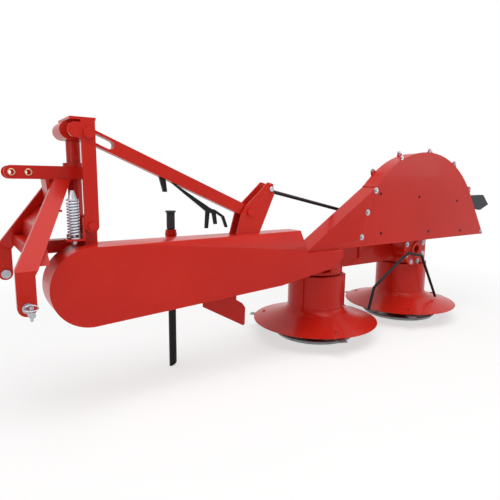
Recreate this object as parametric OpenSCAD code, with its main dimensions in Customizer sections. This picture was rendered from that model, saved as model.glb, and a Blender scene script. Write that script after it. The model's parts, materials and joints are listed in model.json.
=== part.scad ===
// Two-drum rotary mower for a three-point hitch, swung back behind the tractor.
// +X runs along the arm to the drums, -X is the tractor's forward direction, +Z is up.
// The working frame has X and Y zero on the vertical swing post and Z zero on the ground.

/* [Hitch] */
// Distance between the shoulders of the lower hitch pins
hitch_w = 683; // [600:1:900]
// Height of the lower hitch pins above the ground
lower_pin_z = 520; // [400:1:650]
// Height of the top link bore above the lower hitch pins
mast_h = 460; // [400:1:640]
// Diameter of the lower hitch pins
lower_pin_d = 22; // [18:0.1:30]
// Length of each lower hitch pin outside its leg
lower_pin_len = 100; // [70:1:130]
// Diameter of the top link bores
top_bore_d = 19.3; // [18:0.1:30]
// Distance of the hitch pins ahead of the swing post
hitch_reach = 250; // [180:1:360]
// Width of a hitch leg
leg_w = 62; // [40:1:90]
// Thickness of a hitch leg
leg_t = 22; // [12:1:40]

/* [Swing frame] */
// Diameter of the swing post
post_d = 56; // [40:1:80]
// Height of the lift pin at the head of the post
lift_pin_z = 1130; // [1000:1:1300]
// Height of the pivot bolt that carries the arm
pivot_z = 772; // [700:1:850]
// Distance of the pivot bolt and lift pin behind the post
pivot_x = 20; // [0:1:60]
// Width of the hanger bar
hanger_w = 54; // [40:1:80]
// Mean diameter of the relief spring's coil
spring_d = 42; // [30:1:60]
// Turns of the relief spring
spring_turns = 12; // [8:1:18]

/* [Belt arm] */
// Radius of the guard round the drive pulley
guard_r = 160; // [120:1:220]
// Height of the drive shaft
drive_z = 535; // [450:1:600]
// Length of the guard from the drive shaft to its inner end
guard_len = 1376; // [1000:1:1600]
// Depth of the guard, front to back
guard_depth = 150; // [100:1:200]
// Place of the guard's rear face behind the swing post
guard_y = -229; // [-260:1:-180]
// Sheet thickness of guard and hood
sheet_t = 3; // [2:0.5:6]
// Diameter of the drive shaft stub
stub_d = 34.9; // [30:0.1:45]

/* [Drums] */
// Distance from the swing post to the inner drum's axis
drum_x = 1414; // [1200:1:1700]
// Distance between the drum axes
drum_pitch = 832; // [700:1:950]
// Place of the drum axes across the arm
drum_y = 31; // [-20:1:80]
// Diameter of a drum's cylinder
drum_d = 344; // [280:1:420]
// Diameter of a drum's dish
dish_d = 770; // [650:1:850]
// Height of the dish rim above the ground
rim_z = 104; // [70:1:130]
// Height of the foot of a drum's cylinder
drum_foot_z = 178; // [150:1:230]
// Height of the top of a turning drum
drum_top_z = 400; // [350:1:450]
// Height of the top of the gear housings
housing_top_z = 560; // [500:1:640]
// Radius that the knife tips reach
knife_reach = 422; // [400:1:450]
// Diameter of a skid plate
skid_d = 520; // [400:1:640]

/* [Hood] */
// Radius of the half-round hood
hood_r = 655; // [500:1:700]
// Distance of the hood's middle from the outer drum's axis
hood_dx = -91; // [-100:1:50]
// Distance of the hood's lower outer corner from its middle
hood_flare = 750; // [660:1:820]
// Height of the hood's lower edge
hood_z = 578; // [540:1:640]
// Height of the centre of the hood's round
hood_mid_z = 497; // [450:1:560]
// Place of the hood's rear face
hood_y = -200; // [-260:1:-150]
// Depth of the hood's rim
hood_depth = 110; // [60:1:160]

/* [Stand] */
// Diameter of the parking leg
stand_d = 38; // [28:1:50]
// Place of the parking leg along the arm
stand_x = 458; // [350:1:600]
// Height of the parking leg's top
stand_top_z = 806; // [750:1:900]

/* [Hidden] */
$fn = 48;
red = [0.72, 0.09, 0.08];
black = [0.08, 0.08, 0.09];
steel = [0.72, 0.73, 0.75];

fit = 0.3;
running_gap = 6;
hitch_half = hitch_w / 2;
top_bore_z = lower_pin_z + mast_h;
flap_len = 70;
x_front = -hitch_reach - leg_w / 2;
x_back = drum_x + drum_pitch + hood_dx + hood_flare + flap_len;
shift_x = -(x_front + x_back) / 2;

sleeve_d = post_d + 30;
upper_sleeve_z = 955;
upper_sleeve_h = 66;
lower_sleeve_z = 646;
lower_sleeve_h = 68;
post_foot_z = lower_sleeve_z - 46;
bar_t = 12;
bar_h = 52;
bar_gap = sleeve_d;
bend_z = 640;
leg_top_z = top_bore_z - bar_h / 2;
crossbar_x = -215;
crossbar_w = 50;
crossbar_z = 706;
plate_top_z = 838;
leg_top_x = -30;
leg_top_y = sleeve_d / 2;
pin_collar_d = 40;
shoulder_t = 6;

strut_y = -130;
strut_h = 56;
strut_t = 40;
strut_pin_x = 778;
strut_pin_z = 804;
strut_pin_d = 26;
lift_pin_d = 28;
lift_head_d = lift_pin_d + 12;
lift_head_t = 12;
slot_w = lift_pin_d + 6;
slot_travel = 96;
hanger_t = 16;
pivot_bolt_d = 24;
hanger_y = strut_y - strut_t / 2 - running_gap - hanger_t;
strap_z = lift_pin_z + 50;
strap_t = 10;
bolt_end_y = -10;
strut_run = [pivot_x - strut_pin_x, lift_pin_z - strut_pin_z];
strut_len = norm(strut_run);
strut_tilt = atan2(strut_run[1], -strut_run[0]);
strut_y0 = strut_y - strut_t / 2;
slot_tip = -strut_len - slot_w / 2;
slot_root = -strut_len + slot_travel + slot_w / 2;

guard_front_y = guard_y + guard_depth;
back_t = 6;
guard_top_z = drive_z + guard_r;
guard_end_z = 500;
fold_left = [220, 690];
fold_right = [1015, 606];
foot_bend = [940, 424];
step_x = 1108;
step_z = hood_z;
lean = 0.62;
bearing_len = 70;
stub_len = 90;
shaft_d = 42;
beam_x0 = 130;
beam_y0 = guard_front_y + back_t;
beam_w = 100;
beam_z0 = 470;
beam_h = 120;
stand_y = beam_y0 + beam_w + 36;
grip_h = 88;
grip_rim = 8;

drum_x2 = drum_x + drum_pitch;
housing_d = drum_d - 24;
housing_z = drum_top_z + running_gap;
drum_wall = 6;
column_d = 90;
skid_top_z = 60;
column_z = skid_top_z + fit;
spindle_d = 40;
spindle_h = 40;
rib_phase = -38;
knife_phase = 10;
hood_x = drum_x2 + hood_dx;
cover_x = drum_x2 - 120;
cover_z = 515;
cover_d = 225;
cover_t = 12;
cover_boss_t = 14;
boss_d = 150;
beam_face_y = drum_y - 65;
cover_y = drum_y - housing_d / 2 - 24;

function arc(cx, cz, r, a0, a1, n) =
  [for (i = [0 : n]) [cx + r * cos(a0 + (a1 - a0) * i / n), cz + r * sin(a0 + (a1 - a0) * i / n)]];

// An outline in X and Z, given a depth in Y
module upright(y, depth) {
  translate([0, y + depth, 0]) rotate([90, 0, 0]) linear_extrude(depth) children();
}

// A round bar along Y
module bar_y(x, y, z, d, len) {
  translate([x, y, z]) rotate([-90, 0, 0]) cylinder(d = d, h = len);
}

// A block given by its low corner and size
module block(corner, size) {
  translate(corner) cube(size);
}

// A round bar between two points
module round_bar(p, q, d) {
  v = q - p;
  translate(p)
    rotate([0, acos(v[2] / norm(v)), atan2(v[1], v[0])])
      cylinder(d = d, h = norm(v), $fn = 24);
}

// A hexagon bolt head along Y, with its seat at y
module bolt_y(x, y, z, d, h) {
  translate([x, y, z]) rotate([90, 0, 0]) cylinder(d = d, h = h, $fn = 6);
}

module in_frame() {
  translate([shift_x, 0, 0]) children();
}

// Headstock

module upper_sleeve() {
  color(red) in_frame() difference() {
    translate([0, 0, upper_sleeve_z]) cylinder(d = sleeve_d, h = upper_sleeve_h);
    translate([0, 0, upper_sleeve_z - 1]) cylinder(d = post_d + 2 * fit, h = upper_sleeve_h + 2);
  }
}

// Inner face of a leg at height z, measured from the middle of the headstock
function leg_inner(z) =
  leg_top_y + (hitch_half - leg_t - leg_top_y) * (leg_top_z - z) / (leg_top_z - bend_z);

// The lower sleeve, its forward bar and the crossbar between the legs
module lower_yoke() {
  z0 = lower_sleeve_z + 8;
  z1 = crossbar_z;
  color(red) in_frame() difference() {
    union() {
      translate([0, 0, lower_sleeve_z]) cylinder(d = sleeve_d, h = lower_sleeve_h);
      block([crossbar_x + crossbar_w, -30, z0], [-crossbar_x - crossbar_w, 60, z1 - z0]);
      translate([crossbar_x, 0, 0]) rotate([90, 0, 90]) linear_extrude(crossbar_w)
        polygon([[-leg_inner(z0), z0], [leg_inner(z0), z0], [leg_inner(z1), z1], [-leg_inner(z1), z1]]);
    }
    translate([0, 0, lower_sleeve_z - 1]) cylinder(d = post_d + 2 * fit, h = lower_sleeve_h + 2);
  }
}

module top_link_bar(side) {
  y = side > 0 ? bar_gap / 2 : -bar_gap / 2 - bar_t;
  tip_x = -hitch_reach + 12;
  color(red) in_frame() difference() {
    union() {
      block([tip_x, y, top_bore_z - bar_h / 2], [-tip_x + 20, bar_t, bar_h]);
      bar_y(tip_x, y, top_bore_z, bar_h, bar_t);
    }
    for (x = [tip_x, tip_x + 58]) bar_y(x, y - 1, top_bore_z, top_bore_d, bar_t + 2);
  }
}
module top_link_bar_l() top_link_bar(-1);
module top_link_bar_r() top_link_bar(1);

// Stay from the front plate up to the top link bars
module bar_brace() {
  half = bar_gap / 2 + bar_t;
  color(red) in_frame()
    upright(-half, 2 * half)
      polygon([[-122, leg_top_z], [-108, leg_top_z], [-94, plate_top_z], [-108, plate_top_z]]);
}

// Bent sheet between the two legs, above the crossbar
module front_plate() {
  t = 8;
  bend = [-178, 776];
  color(red) in_frame() intersection() {
    upright(-hitch_w, 2 * hitch_w)
      polygon([
        [-84, plate_top_z], [-116, plate_top_z], bend, [bend[0], crossbar_z], [bend[0] + t, crossbar_z],
        [bend[0] + t, bend[1] - 4], [-112, plate_top_z - t], [-84, plate_top_z - t]
      ]);
    translate([bend[0] - 1, 0, 0]) rotate([90, 0, 90]) linear_extrude(200)
      polygon([
        [-leg_inner(crossbar_z), crossbar_z], [leg_inner(crossbar_z), crossbar_z],
        [leg_inner(plate_top_z), plate_top_z], [-leg_inner(plate_top_z), plate_top_z]
      ]);
  }
}

// Outline of one leg seen from the side, sloping forward and then hanging straight
module leg_side() {
  polygon([
    [leg_top_x - leg_w, leg_top_z], [leg_top_x, leg_top_z],
    [-hitch_reach + leg_w / 2, bend_z - 10], [-hitch_reach + leg_w / 2, lower_pin_z],
    each arc(-hitch_reach, lower_pin_z, leg_w / 2, 0, -180, 12),
    [-hitch_reach - leg_w / 2, bend_z + 10]
  ]);
}

// Outline of one leg seen from the front, splayed down to the hitch width
module leg_front(side) {
  inner = hitch_half - leg_t;
  polygon([
    [side * leg_top_y, leg_top_z], [side * (leg_top_y + leg_t + 6), leg_top_z],
    [side * hitch_half, bend_z + 6], [side * hitch_half, lower_pin_z - leg_w],
    [side * inner, lower_pin_z - leg_w], [side * inner, bend_z]
  ]);
}

module leg(side) {
  color(red) in_frame() difference() {
    intersection() {
      upright(-hitch_w, 2 * hitch_w) leg_side();
      translate([-hitch_reach - leg_w, 0, 0]) rotate([90, 0, 90])
        linear_extrude(hitch_reach + 2 * leg_w) leg_front(side);
    }
    bar_y(-hitch_reach, -hitch_w, lower_pin_z, lower_pin_d + 2 * fit, 2 * hitch_w);
  }
}
module leg_l() leg(-1);
module leg_r() leg(1);

// Lower hitch pin with a collar inside the leg, a shoulder outside it and a linchpin hole at its end
module hitch_pin(side) {
  nut_t = 18;
  inner = hitch_half - leg_t;
  color(steel) in_frame() scale([1, side, 1]) difference() {
    union() {
      bar_y(-hitch_reach, inner, lower_pin_z, lower_pin_d, leg_t + lower_pin_len);
      bar_y(-hitch_reach, inner - nut_t, lower_pin_z, pin_collar_d, nut_t);
      bar_y(-hitch_reach, hitch_half, lower_pin_z, pin_collar_d - 4, shoulder_t);
    }
    translate([-hitch_reach, hitch_half + lower_pin_len - 16, lower_pin_z - 20])
      cylinder(d = 11, h = 40);
  }
}
module hitch_pin_l() hitch_pin(-1);
module hitch_pin_r() hitch_pin(1);

// Swing frame

module swing_post() {
  color(red) in_frame() difference() {
    union() {
      translate([0, 0, post_foot_z]) cylinder(d = post_d, h = lift_pin_z - 20 - post_foot_z);
      translate([0, 0, lower_sleeve_z - 20 - fit]) cylinder(d = sleeve_d, h = 20);
      translate([0, 0, lower_sleeve_z + lower_sleeve_h + fit]) cylinder(d = sleeve_d, h = 10);
      block([-30, -78, pivot_z - 38], [80, 78, 76]);
    }
    bar_y(pivot_x, -100, pivot_z, pivot_bolt_d + 2 * fit, 100 + bolt_end_y + 2);
  }
}

// Cap of the mast: a round-nosed block on the post and a strap over the strut to the hanger bar
module mast_head() {
  front_y = strut_y + strut_t / 2 + running_gap;
  foot_z = lift_pin_z - 20;
  h = strap_z - foot_z;
  color(red) in_frame() difference() {
    union() {
      block([-36, front_y, foot_z], [86, -front_y + post_d / 2, h]);
      bar_y(-36, front_y, foot_z + h / 2, h, -front_y + post_d / 2);
      block([-46, hanger_y, strap_z], [96, -hanger_y + post_d / 2, strap_t]);
    }
    bar_y(pivot_x, front_y - 1, lift_pin_z, lift_pin_d + 2 * fit, bolt_end_y + 1 - front_y);
  }
}

// Flat bar that hangs from the mast head, with a round nose at its upper end
module hanger_bar() {
  nose_r = 29;
  color(red) in_frame() difference() {
    union() {
      block([pivot_x - hanger_w / 2, hanger_y, pivot_z], [hanger_w, hanger_t, strap_z - pivot_z]);
      bar_y(pivot_x, hanger_y, pivot_z, hanger_w, hanger_t);
      block([-25, hanger_y, lift_pin_z - 17], [25, hanger_t, 2 * nose_r]);
      bar_y(-25, hanger_y, lift_pin_z - 17 + nose_r, 2 * nose_r, hanger_t);
    }
    bar_y(pivot_x, hanger_y - 1, pivot_z, pivot_bolt_d + 2 * fit, hanger_t + 2);
    bar_y(pivot_x, hanger_y - 1, lift_pin_z, lift_pin_d + 2 * fit, hanger_t + 2);
  }
}

// Pin at the head of the mast that runs in the strut's slot
module lift_pin() {
  color(red) in_frame() bar_y(pivot_x, hanger_y, lift_pin_z, lift_pin_d, bolt_end_y - hanger_y - 2);
}

// Head of that pin, flat on the hanger bar
module lift_pin_head() {
  color(red) in_frame() bar_y(pivot_x, hanger_y - lift_head_t, lift_pin_z, lift_head_d, lift_head_t);
}

// Bolt that the arm rocks on
module pivot_bolt() {
  color(red) in_frame() {
    bar_y(pivot_x, hanger_y, pivot_z, pivot_bolt_d, bolt_end_y - hanger_y);
    bolt_y(pivot_x, hanger_y, pivot_z, 38, 12);
  }
}

spring_x = -46;
spring_y = -150;
spring_z0 = 730;
spring_h = 142;
spring_wire = 7;
washer_t = 6;
seat_t = 8;
seat_z = spring_z0 - fit - washer_t - seat_t;
spring_nut_h = 12;

// Threaded rod with a washer and cone cap above and a washer and nut below
module spring_rod() {
  foot_z = seat_z - spring_nut_h - 4;
  cap_z = spring_z0 + spring_h + fit;
  color(steel) in_frame() translate([spring_x, spring_y, 0]) {
    translate([0, 0, foot_z]) cylinder(d = 16, h = cap_z - foot_z + 8);
    translate([0, 0, cap_z]) cylinder(d = spring_d + 4, h = washer_t);
    translate([0, 0, cap_z + washer_t]) cylinder(d1 = 34, d2 = 14, h = 34);
    translate([0, 0, seat_z + seat_t]) cylinder(d = spring_d + 10, h = washer_t);
    translate([0, 0, seat_z - spring_nut_h]) cylinder(d = 26, h = spring_nut_h, $fn = 6);
  }
}

// Bracket on the hanger bar that the spring stands on
module spring_seat() {
  edge_x = pivot_x - hanger_w / 2;
  upright_t = 8;
  plate_w = 52;
  plate_x0 = spring_x - 34;
  color(red) in_frame() difference() {
    union() {
      block([plate_x0, spring_y - plate_w / 2, seat_z], [edge_x - upright_t - plate_x0, plate_w, seat_t]);
      block([edge_x - upright_t, hanger_y, seat_z], [upright_t, hanger_t, 90]);
    }
    translate([spring_x, spring_y, seat_z - 1]) cylinder(d = 16 + 2 * fit, h = seat_t + 2);
  }
}

// The coil as a chain of short rounds
module relief_spring() {
  steps = 12;
  n = spring_turns * steps;
  ring = 6;
  points = [for (i = [0 : n], k = [0 : ring - 1])
    let (a = 360 * i / steps, b = 360 * (k + 0.5) / ring, r = spring_d / 2 + spring_wire / 2 * cos(b))
      [r * cos(a), r * sin(a),
       spring_wire / 2 + (spring_h - spring_wire) * i / n + spring_wire / 2 * sin(b)]];
  sides = [for (i = [0 : n - 1], k = [0 : ring - 1])
    [i * ring + k, (i + 1) * ring + k, (i + 1) * ring + (k + 1) % ring, i * ring + (k + 1) % ring]];
  ends = [[for (k = [0 : ring - 1]) k], [for (k = [ring - 1 : -1 : 0]) n * ring + k]];
  color(steel) in_frame() translate([spring_x, spring_y, spring_z0])
    polyhedron(points = points, faces = concat(sides, ends));
}

// Arm

// Block in the guard's side outline, drawn in from its edge by inset
module guard_outline(y, depth, inset) {
  bar_y(0, y, drive_z, 2 * (guard_r - inset), depth);
  upright(y, depth) polygon([
    [0, guard_top_z - inset], [step_x - inset, guard_top_z - inset], [step_x - inset, step_z - inset],
    [guard_len - inset, step_z - inset], [guard_len - inset, guard_end_z + 30],
    [guard_len - 60, guard_end_z - 20 + inset], [foot_bend[0], foot_bend[1] + inset],
    [14, drive_z - guard_r + 1 + inset], [-guard_r / 3, drive_z]
  ]);
}

// Prism cut from the guard's upper rear edge, so that a facet leans from the fold line to the top
module lean_cut(inset) {
  slope = (fold_right[1] - fold_left[1]) / (fold_right[0] - fold_left[0]);
  reach = 200;
  translate([fold_left[0], guard_y, fold_left[1] - inset]) rotate([0, -atan(slope), 0])
    translate([-2 * fold_left[0], 0, 0]) rotate([90, 0, 90]) linear_extrude(2 * guard_len)
      polygon([[-reach, -reach / lean], [reach * lean, reach], [-reach, reach]]);
}

module belt_guard() {
  color(red) in_frame() difference() {
    guard_outline(guard_y, guard_depth, 0);
    lean_cut(0);
    difference() {
      guard_outline(guard_y + sheet_t, guard_depth, sheet_t);
      lean_cut(2 * sheet_t);
    }
  }
}

module guard_back() {
  color(red) in_frame() difference() {
    guard_outline(guard_front_y, back_t, 0);
    bar_y(0, guard_front_y - 1, drive_z, stub_d + 20, back_t + 2);
  }
}

module carrier_beam() {
  wall = 6;
  len = drum_x - drum_d / 2 - 8 - beam_x0;
  color(red) in_frame() difference() {
    block([beam_x0, beam_y0, beam_z0], [len, beam_w, beam_h]);
    block([beam_x0 - 1, beam_y0 + wall, beam_z0 + wall], [len - wall, beam_w - 2 * wall, beam_h - 2 * wall]);
  }
}

// Lug on top of the guard that hangs on the pivot bolt
module pivot_bracket() {
  lug_y = -142;
  lug_t = 56;
  lug_w = 52;
  color(red) in_frame() difference() {
    union() {
      block([pivot_x - lug_w / 2, lug_y, guard_top_z], [lug_w, lug_t, pivot_z - guard_top_z]);
      bar_y(pivot_x, lug_y, pivot_z, lug_w, lug_t);
    }
    bar_y(pivot_x, lug_y - 1, pivot_z, pivot_bolt_d + 2 * fit, lug_t + 2);
  }
}

module input_bearing() {
  color(red) in_frame() difference() {
    union() {
      bar_y(0, beam_y0, drive_z, 110, 16);
      bar_y(0, beam_y0, drive_z, 78, bearing_len);
      for (a = [0 : 60 : 300])
        bar_y(46 * cos(a), beam_y0 + 16, drive_z + 46 * sin(a), 12, 6);
    }
    bar_y(0, beam_y0 - 1, drive_z, shaft_d + 2 * fit, bearing_len + 2);
  }
}

// Splined stub that takes the tractor's drive shaft
module drive_stub() {
  color(steel) in_frame() difference() {
    union() {
      bar_y(0, beam_y0 + 2, drive_z, shaft_d, bearing_len);
      bar_y(0, beam_y0 + 2, drive_z, stub_d, bearing_len + stub_len);
    }
    translate([0, beam_y0 + bearing_len + stub_len - 38, drive_z]) rotate([90, 0, 0])
      rotate_extrude() translate([stub_d / 2 + 2, 0]) circle(d = 10, $fn = 24);
  }
}

// Two leaning cheeks that take the strut's lower pin
module strut_bracket() {
  cheek_t = 10;
  color(red) in_frame() difference() {
    for (y = [strut_y - strut_t / 2 - running_gap - cheek_t, strut_y + strut_t / 2 + running_gap])
      upright(y, cheek_t)
        polygon([
          [700, guard_top_z], [836, guard_top_z], [926, 888], [918, 942],
          [886, 950], [760, 838], [730, 800]
        ]);
    bar_y(strut_pin_x, -300, strut_pin_z, strut_pin_d + 2 * fit, 400);
    bar_y(906, -300, 916, 16, 400);
  }
}

module strut_pin() {
  span = strut_t + 2 * running_gap + 20;
  y0 = strut_y - span / 2;
  color(red) in_frame() {
    bar_y(strut_pin_x, y0, strut_pin_z, strut_pin_d, span);
    bolt_y(strut_pin_x, y0, strut_pin_z, 40, 10);
    bolt_y(strut_pin_x, y0 + span + 10, strut_pin_z, 40, 10);
  }
}

module stand_sleeve() {
  sleeve_low = beam_z0 - 20;
  sleeve_high = 712;
  color(red) in_frame() difference() {
    union() {
      translate([stand_x, stand_y, sleeve_low]) cylinder(d = stand_d + 16, h = sleeve_high - sleeve_low);
      translate([stand_x, stand_y, sleeve_high - 40]) cylinder(d1 = stand_d + 16, d2 = stand_d + 22, h = 24);
      block([stand_x - 22, beam_y0 + beam_w, beam_z0 + 10], [44, stand_y - beam_y0 - beam_w, 100]);
    }
    translate([stand_x, stand_y, sleeve_low - 1]) cylinder(d = stand_d + 2 * fit, h = sleeve_high - sleeve_low + 2);
  }
}

// Plate below the carrier beam that turns crop away from the arm
module deflector() {
  color(red) in_frame() upright(beam_y0 + 40, 8)
    polygon([
      [580, beam_z0], [790, beam_z0], [786, 326], [825, 301], [844, 273], [841, 184], [832, 174], [586, 316]
    ]);
}

// Gear housing with the fixed column that the drum turns on
module housing(x) {
  translate([x, drum_y, housing_z]) cylinder(d = housing_d, h = housing_top_z - housing_z);
  difference() {
    translate([x, drum_y, column_z]) cylinder(d = column_d, h = housing_z - column_z);
    translate([x, drum_y, column_z - 1]) cylinder(d = spindle_d + 2 * fit, h = spindle_h + 3);
  }
}

// Gear housing of the inner drum, flat where the belt guard passes
module inner_housing() {
  color(red) in_frame() difference() {
    housing(drum_x);
    block([0, -400, housing_z + 20], [guard_len + 8, 400 + beam_y0, 300]);
  }
}

module outer_housing() {
  color(red) in_frame() difference() {
    union() {
      housing(drum_x2);
      bar_y(cover_x, cover_y, cover_z, boss_d, beam_face_y - cover_y);
    }
    bar_y(cover_x, cover_y - 1, cover_z, 60, 80);
  }
}

// Box between the gear housings that carries the cross shaft
module drum_beam() {
  w = 130;
  z0 = 424;
  gap = housing_d / 2;
  color(red) in_frame() difference() {
    block([drum_x, drum_y - w / 2, z0], [drum_pitch, w, housing_top_z - 16 - z0]);
    for (x = [drum_x, drum_x2])
      translate([x, drum_y, z0 - 1]) cylinder(r = gap, h = housing_top_z);
  }
  color(red) in_frame() difference() {
    block([drum_x - 220, drum_y - w / 2, z0], [220, w, housing_top_z - 16 - z0]);
    translate([drum_x, drum_y, z0 - 1]) cylinder(r = gap, h = housing_top_z);
    block([beam_x0, beam_y0 - 1, beam_z0 - 60], [drum_x - drum_d / 2 - 8 - beam_x0, beam_w + 1, beam_h + 200]);
    block([0, -400, 300], [guard_len + 1, 400 + guard_front_y + back_t, 500]);
  }
}

// Flanged cover over the outer housing's shaft bearing
module bearing_cover() {
  bolts = 8;
  bolt_r = 93;
  color(red) in_frame() difference() {
    union() {
      bar_y(cover_x, cover_y - cover_t, cover_z, cover_d, cover_t);
      bar_y(cover_x, cover_y - cover_t - cover_boss_t, cover_z, 96, cover_boss_t);
      for (i = [0 : bolts - 1])
        let (a = (i + 0.5) * 360 / bolts)
          bolt_y(cover_x + bolt_r * cos(a), cover_y - cover_t, cover_z + bolt_r * sin(a), 20, 10);
    }
    bar_y(cover_x, cover_y - cover_t - cover_boss_t - 1, cover_z, 52, cover_t + cover_boss_t + 2);
  }
}

ear_angles = [39, 63, 89, 114];
far_ear_angles = [78, 104, 128];
hood_a0 = 36;
hood_a1 = 134;
rim_inset = 4;
rim_end_a = 136.4;
hood_corner = [hood_x + hood_flare, hood_z];
hood_side = [hood_x + hood_r * cos(hood_a0), hood_mid_z + hood_r * sin(hood_a0)];
side_run = hood_corner - hood_side;
side_normal = [-side_run[1], side_run[0]] / norm(side_run);
seam_foot_x = hood_x - 625;
panel_holes = [[1706, 888], [2086, 866], [2523, 833], [1727, 648], [2211, 633], [2593, 619]];
seam_bolts = [[1552, 635], [1593, 779], [1657, 908]];

// A point on the hood's round at angle a, out from its edge by e
function hood_point(a, e) = [hood_x + (hood_r + e) * cos(a), hood_mid_z + (hood_r + e) * sin(a)];

// The hood's outer edge from its corner up and over to angle a1, drawn in by inset
function hood_edge(inset, a1) =
  concat([hood_corner - inset * side_normal], arc(hood_x, hood_mid_z, hood_r - inset, hood_a0, a1, 32));

function reversed(v) = [for (i = [len(v) - 1 : -1 : 0]) v[i]];

// Outline of a bolt ear at angle a, with its foot sunk by root below the hood's edge
function ear(a, root) = [
  hood_point(a - 2.4, -root), hood_point(a - 1.3, 20), hood_point(a - 0.6, 26),
  hood_point(a + 0.6, 26), hood_point(a + 1.3, 20), hood_point(a + 2.4, -root)
];

// The hood's round from a0 to a1 with its ears
function eared_round(n) =
  let (step = (hood_a1 - hood_a0) / n)
    [for (k = [0 : n])
      let (a = hood_a0 + k * step, near = [for (e = ear_angles) if (abs(e - a) < 2.6) e])
        each concat(len(near) == 0 ? [hood_point(a, 0)] : [],
                    [for (e = ear_angles) if (e >= a && e < a + step) each ear(e, 0)])];

// Rear plate of the hood with bolt ears round its edge and a few small holes
module hood_panel() {
  color(red) in_frame() difference() {
    upright(hood_y, sheet_t) polygon(concat([[seam_foot_x, hood_z], hood_corner], eared_round(32)));
    for (p = panel_holes) bar_y(p[0], hood_y - 1, p[1], 10, sheet_t + 2);
    for (a = ear_angles) bar_y(hood_point(a, 13)[0], hood_y - 1, hood_point(a, 13)[1], 11, sheet_t + 2);
  }
}

// Rim behind the plate, open below, with ears on its far edge
module hood_rim() {
  far_y = hood_y + hood_depth - sheet_t;
  color(red) in_frame() {
    difference() {
      upright(hood_y + sheet_t, hood_depth - sheet_t)
        polygon(concat(hood_edge(rim_inset, rim_end_a), reversed(hood_edge(rim_inset + sheet_t, rim_end_a))));
      block([0, hood_y - 1, 0], [2 * x_back, hood_depth + 2, hood_z + 30]);
    }
    for (a = far_ear_angles) upright(far_y, sheet_t) polygon(ear(a, 6));
  }
}

wing_foot_x = 1118;
wing_top = [1680, 941];

// Sloping wing that closes the hood on the side of the arm
module hood_wing() {
  color(red) in_frame() {
    difference() {
      upright(hood_y - sheet_t, hood_depth)
        polygon([[wing_foot_x, hood_z], [seam_foot_x + 40, hood_z], [seam_foot_x + 92, 779], [1690, 920], wing_top]);
      upright(hood_y, hood_depth)
        polygon([
          [wing_foot_x + 12, hood_z - 1], [wing_top[0] + 200, hood_z - 1], [wing_top[0] + 200, wing_top[1]],
          [wing_top[0] - 1, wing_top[1] - 5]
        ]);
    }
    for (p = seam_bolts) bolt_y(p[0], hood_y - sheet_t, p[1], 20, 8);
  }
}

// Uprights that carry the hood, one on the drum beam and one on the outer housing
module hood_posts() {
  w = 44;
  plate_t = 10;
  arm_z = 740;
  arm_h = 30;
  color(red) in_frame()
    for (p = [[drum_x + 300, 470], [drum_x2 - w / 2, housing_top_z]]) {
      block([p[0], beam_face_y - plate_t, p[1]], [w, plate_t, arm_z + arm_h - p[1]]);
      block([p[0], hood_y + sheet_t, arm_z], [w, beam_face_y - plate_t - hood_y - sheet_t, arm_h]);
    }
}

// Round rod with an eye at each end, from the strut bracket to the hood's first post
module tie_rod() {
  d = 20;
  eye_d = 34;
  eye_t = 24;
  bracket_y = strut_y + strut_t / 2 + running_gap + 10;
  rod_from = [906, bracket_y + eye_t / 2, 916];
  rod_to = [drum_x + 322, beam_face_y + eye_t / 2, 744];
  color(black) in_frame() {
    round_bar(rod_from, rod_to, d);
    bar_y(rod_from[0], bracket_y, rod_from[2], eye_d, eye_t);
    bar_y(rod_to[0], beam_face_y, rod_to[2], eye_d, eye_t);
  }
}

// A round bar in the plane at y, with a round bend at each inner point of its route in X and Z
module bent_bar(route, y, d, r) {
  n = len(route) - 1;
  ring = 12;
  steps = 4;
  dirs = [for (i = [0 : n - 1]) (route[i + 1] - route[i]) / norm(route[i + 1] - route[i])];
  bends = [for (i = [1 : n - 1])
    let (
      side = sign(cross(dirs[i - 1], dirs[i])),
      turn = acos(dirs[i - 1] * dirs[i]),
      a0 = atan2(dirs[i - 1][1], dirs[i - 1][0]),
      from = route[i] - r * tan(turn / 2) * dirs[i - 1],
      centre = from + side * r * [-dirs[i - 1][1], dirs[i - 1][0]]
    )
      for (k = [0 : steps])
        let (a = a0 + side * turn * k / steps) [centre + side * r * [sin(a), -cos(a)], a]];
  path = concat(
    [[route[0], atan2(dirs[0][1], dirs[0][0])]], bends, [[route[n], atan2(dirs[n - 1][1], dirs[n - 1][0])]]);
  last = len(path) - 1;
  points = [for (p = path, k = [0 : ring - 1])
    let (b = 360 * k / ring)
      [p[0][0] - d / 2 * cos(b) * sin(p[1]), y + d / 2 * sin(b), p[0][1] + d / 2 * cos(b) * cos(p[1])]];
  sides = [for (i = [0 : last - 1], k = [0 : ring - 1])
    [i * ring + k, (i + 1) * ring + k, (i + 1) * ring + (k + 1) % ring, i * ring + (k + 1) % ring]];
  ends = [[for (k = [0 : ring - 1]) k], [for (k = [ring - 1 : -1 : 0]) last * ring + k]];
  polyhedron(points = points, faces = concat(sides, ends));
}

// Bent round bar that stands guard round the outer drum
module guard_bar() {
  d = 18;
  y = cover_y - cover_t - cover_boss_t - d / 2;
  route = [
    [drum_x2 - 596, 176], [drum_x2 - 557, 311], [drum_x2 - 307, 465], [drum_x2 - 230, 500],
    [drum_x2 - 89, 471], [drum_x2 - 55, 414], [drum_x2 + 101, 162]
  ];
  color(black) in_frame() bent_bar(route, y, d, 26);
}

// Stiff flap on the hood's outer side
module end_flap() {
  top_z = 868;
  foot_z = 772;
  t = 30;
  edge = [for (z = [top_z, foot_z])
    [hood_side[0] + side_run[0] * (z - hood_side[1]) / side_run[1] - rim_inset / side_normal[0], z]];
  color(black) in_frame() upright(hood_y + sheet_t + 8, t)
    polygon([edge[0], [x_back - 85, top_z + 3], [x_back, 798], [x_back - 110, 758], edge[1]]);
}

// Lift strut, drawn along its own line from the lower pin to the mast

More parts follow.
